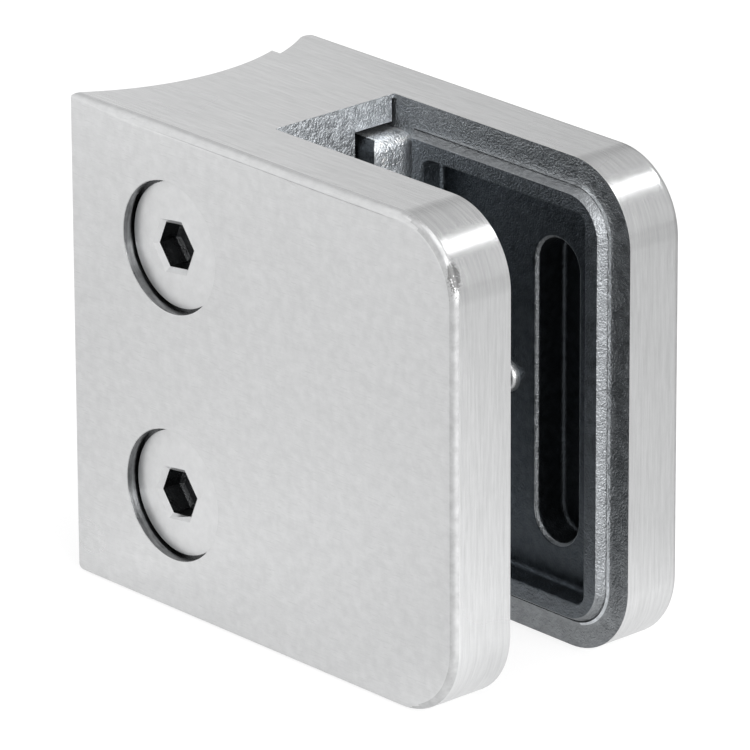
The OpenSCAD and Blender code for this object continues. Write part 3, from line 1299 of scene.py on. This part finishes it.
@dataclass
class Studio:
    """The pale floor, the lamps and the camera round the clamp."""

    azimuth: float = 47.747
    elevation: float = 20.823
    roll: float = -0.252
    distance: float = 714.99 * MM
    aim: Triple = (0.290 * MM, -0.155 * MM, -0.303 * MM)
    lens: float = 395.0
    sensor: float = 36.0
    clip: Pair = (0.01, 20.0)
    floor_size: float = 6.0
    floor_level: float = 0.9
    floor_matte: float = 0.25
    # The floor's painted glow, which polished faces see in it, from its near side to its far side, in metres.
    away: Triple = (0.74, 0.67, 0.0)
    floor_span: Pair = (-0.45, 0.18)
    floor_stops: Stops = (
        (-0.45, 0.95),
        (-0.20, 0.95),
        (-0.15, 0.65),
        (-0.12, 0.55),
        (-0.067, 0.60),
        (-0.034, 0.67),
        (-0.012, 0.61),
        (0.02, 0.78),
        (0.075, 0.60),
        (0.13, 0.36),
        (0.18, 0.30),
    )
    # How that level changes from side to side, before the clamp and behind it.
    across: Triple = (-0.67, 0.74, 0.0)
    across_span: Pair = (-0.06, 0.08)
    front_stops: Stops = (
        (-0.06, 0.84),
        (-0.028, 0.88),
        (-0.012, 1.0),
        (0.0, 1.0),
        (0.012, 0.92),
        (0.08, 0.9),
    )
    rear_stops: Stops = (
        (-0.06, 0.95),
        (-0.036, 1.15),
        (-0.027, 1.12),
        (-0.020, 0.88),
        (-0.011, 0.80),
        (-0.006, 0.75),
        (0.03, 0.62),
        (0.08, 0.62),
    )
    behind: Pair = (-0.01, 0.02)
    # Painted bright spots in the floor's glow: the place, where the spot fades, and its level.
    glares: tuple[tuple[Triple, Pair, float], ...] = (
        ((-0.022, -0.022, 0.0), (0.001, 0.0075), 0.09),
        ((0.032, 0.018, 0.0), (0.004, 0.018), 0.15),
        ((0.0955, 0.075, 0.0), (0.004, 0.022), 0.18),
    )
    floor_seen: float = 0.80
    world_level: float = 0.72
    # What polished faces see round the clamp, from the near side to the far side, and overhead.
    sky_stops: Stops = ((-1.0, 1.0), (-0.62, 0.95), (-0.2, 1.0), (0.08, 0.28), (0.3, 0.6), (1.0, 0.66))
    dome_height: Pair = (0.42, 0.66)
    dome_level: float = 0.64
    lamps: tuple[SoftBox, ...] = (
        SoftBox("key_softbox", -28.0, 52.0, 0.9, 0.5, 0.4, 0.45),
        SoftBox("rear_strip", 150.0, 44.0, 0.8, 0.40, 0.04, 0.36),
        SoftBox("side_softbox", 83.0, 18.0, 0.8, 0.75, 0.5, 6.9),
        SoftBox("overhead_softbox", 75.0, 72.0, 0.8, 0.6, 0.6, 1.7),
    )

    def camera(self, middle: Vector) -> None:
        """Sets up the camera.

        Args:
            middle: The middle of the clamp's box.
        """
        back = direction_to(self.azimuth, self.elevation)
        a, r = math.radians(self.azimuth), math.radians(self.roll)
        right = Vector((math.cos(a), math.sin(a), 0.0))
        up = back.cross(right)
        right, up = right * math.cos(r) + up * math.sin(r), up * math.cos(r) - right * math.sin(r)
        data = bpy.data.cameras.new("studio_camera")
        data.lens, data.sensor_width = self.lens, self.sensor
        data.clip_start, data.clip_end = self.clip
        camera = bpy.data.objects.new("studio_camera", data)
        bpy.context.scene.collection.objects.link(camera)
        turn = Matrix((right, up, back)).transposed().to_4x4()
        place = middle + Vector(self.aim) + back * self.distance
        camera.matrix_world = Matrix.Translation(place) @ turn
        bpy.context.scene.camera = camera

    def floor(self, level_z: float) -> None:
        """Lays the pale floor, with a painted glow of pools and bright spots that only polished faces see in
        it.

        Args:
            level_z: Height of the floor.
        """
        bpy.ops.mesh.primitive_plane_add(size=self.floor_size, location=(0, 0, level_z))
        floor = bpy.context.object
        floor.name = "studio_floor"
        desk = NodeDesk(bpy.data.materials.new("pale_floor"))
        matte = desk.add("BsdfDiffuse", {"Color": (*tinted(self.floor_level), 1)})
        part = desk.add("BsdfDiffuse", {"Color": (*tinted(self.floor_matte), 1)})
        ground = desk.add("TexCoord").outputs["Object"]
        reach = desk.along(ground, self.away)
        pool = desk.ramp(reach, *self.floor_span, self.floor_stops)
        sideways = desk.along(ground, self.across)
        front = desk.ramp(sideways, *self.across_span, self.front_stops)
        rear = desk.ramp(sideways, *self.across_span, self.rear_stops)
        back = desk.spread(reach, self.behind, (0.0, 1.0))
        pool = desk.calc("MULTIPLY", pool, desk.between(back, front, rear))
        for place, fade, level in self.glares:
            glare = desk.spread(desk.gap(ground, place), fade, (level, 0.0))
            pool = desk.calc("ADD", pool, glare)
        path = desk.add("LightPath")
        strength = desk.between(path.outputs["Is Camera Ray"], pool, self.floor_seen)
        glow = desk.add("Emission", {"Color": WHITE, "Strength": strength})
        lit = desk.add("AddShader", {0: part.outputs[0], 1: glow.outputs[0]})
        seen = desk.calc("MAXIMUM", path.outputs["Is Camera Ray"], path.outputs["Is Glossy Ray"])
        mix = desk.add("MixShader", {0: seen, 1: matte.outputs[0], 2: lit.outputs[0]})
        floor.data.materials.append(desk.surface(mix.outputs[0]))
        floor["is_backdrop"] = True

    def world(self) -> None:
        """Surrounds the clamp with white light, which is even overhead."""
        desk = NodeDesk(bpy.data.worlds.new("studio"))
        view = desk.add("TexCoord").outputs["Generated"]
        parts = desk.add("SeparateXYZ", {0: view})
        side = desk.ramp(desk.along(view, self.away), -1.0, 1.0, self.sky_stops)
        dome = desk.add(
            "MapRange",
            dict(enumerate((parts.outputs["Z"], *self.dome_height, 0.0, 1.0))),
            interpolation_type="SMOOTHSTEP",
        )
        sky = desk.between(dome.outputs[0], side, self.dome_level)
        path = desk.add("LightPath")
        level = desk.between(path.outputs["Is Glossy Ray"], self.world_level, sky)
        level = desk.between(path.outputs["Is Camera Ray"], level, 1.0)
        light = desk.add("Background", {"Color": WHITE, "Strength": level})
        bpy.context.scene.world = desk.surface(light.outputs[0])

    def build(self, low: Vector, high: Vector) -> None:
        """Builds the whole studio.

        Args:
            low: Lowest corner of the clamp's box.
            high: Highest corner of the clamp's box.
        """
        middle = (low + high) / 2
        self.camera(middle)
        self.floor(low.z)
        for box in self.lamps:
            box.light(middle)
        self.world()
        LOG.info("studio: %d lamps", len(self.lamps))


def main() -> None:
    """Dresses the clamp and builds the studio round it."""
    logging.basicConfig(level=logging.INFO, format="%(name)s: %(message)s")
    cad_low, cad_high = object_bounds()
    bpy.context.scene.view_settings.view_transform = "Standard"
    finishes = Finishes.make()
    sizes = ClampSizes.measured(cad_low, cad_high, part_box("clamp_body")[1].y)
    upper = SocketScrew(sizes, finishes, "dressed_upper_screw", 1)
    lower = SocketScrew(sizes, finishes, "dressed_lower_screw", -1)
    parts = (
        (ClampBody(sizes, finishes), "body", "clamp_body", "body_steel"),
        (CoverPlate(sizes, finishes), "cover", "cover_plate", "cover_steel"),
        (upper, "upper_screw", "upper_screw", "screw_steel"),
        (lower, "lower_screw", "lower_screw", "screw_steel"),
    )
    for part, carrier, node, slot in parts:
        piece = part.build()
        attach(piece, carrier)
        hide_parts(node)
        LOG.info("%s: %d faces", piece.name, len(piece.data.polygons))
    Studio().build(cad_low, cad_high)


if __name__ == "__main__":
    main()
